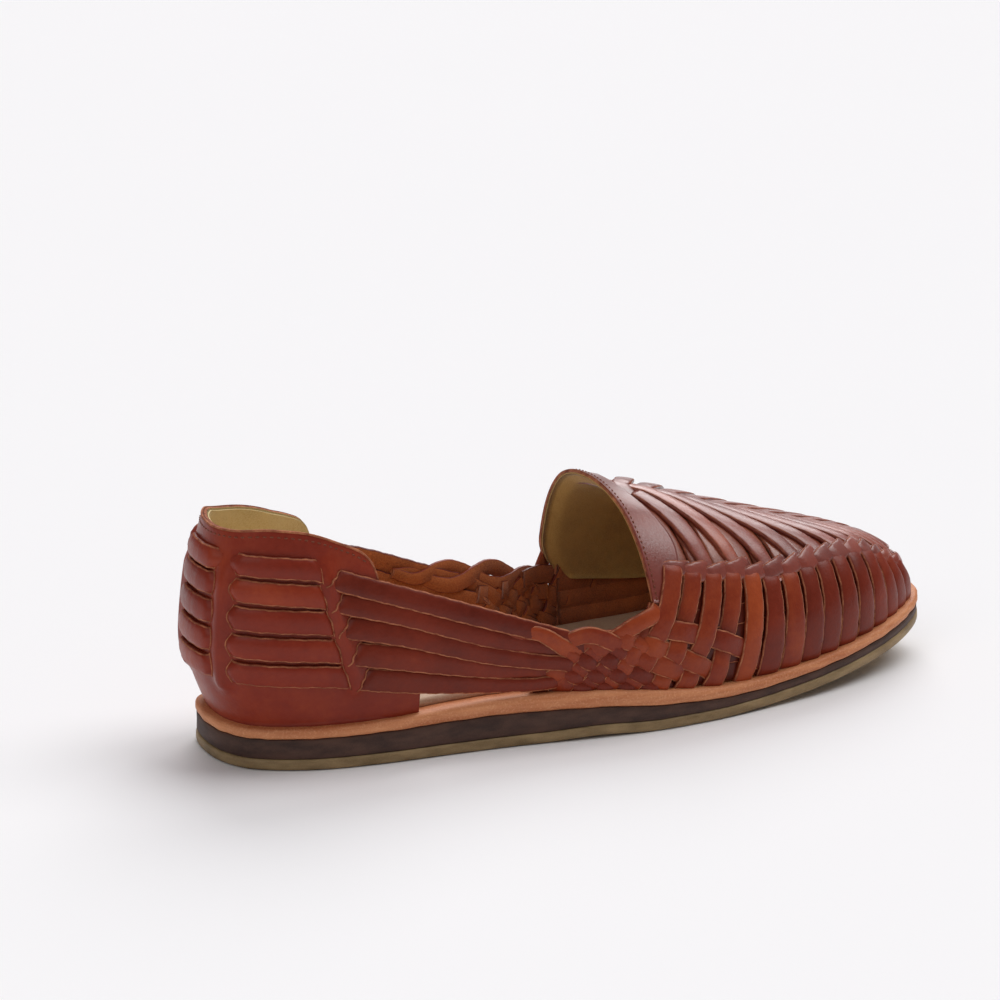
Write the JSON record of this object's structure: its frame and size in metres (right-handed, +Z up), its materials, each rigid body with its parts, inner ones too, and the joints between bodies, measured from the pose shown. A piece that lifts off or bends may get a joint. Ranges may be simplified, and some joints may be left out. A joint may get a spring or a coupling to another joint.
{
  "type": "huarache sandal",
  "caption": "Right huarache sandal with a woven leather upper, open quarters, slotted heel counter, smooth instep band and a layered flat sole.",
  "frame": {"origin": "middle of the underside, on the floor plane under the centre of the whole shoe's box", "axes": "+X from heel to toe, +Y to the inner (medial) side of the right foot, +Z up"},
  "size_m": [0.2968, 0.0984, 0.084],
  "materials": {
    "gum_rubber": "matt olive-tan gum rubber",
    "dark_midsole": "matt very dark brown",
    "welt_leather": "natural vegetable-tanned edge, satin",
    "insole_leather": "pale natural leather, matt",
    "upper_leather": "waxed reddish saddle brown strips with pale raw edges",
    "counter_leather": "waxed reddish saddle brown, satin",
    "band_leather": "smooth waxed leather, satin",
    "lining_suede": "olive-tan suede lining, matt",
    "thread": "waxed thread"
  },
  "bodies": {
    "root": {"outsole": "gum_rubber", "midsole": "dark_midsole", "welt": "welt_leather", "insole": "insole_leather", "upper": "upper_leather", "heel_counter": "counter_leather", "instep_band": "band_leather"}
  },
  "joints": []
}
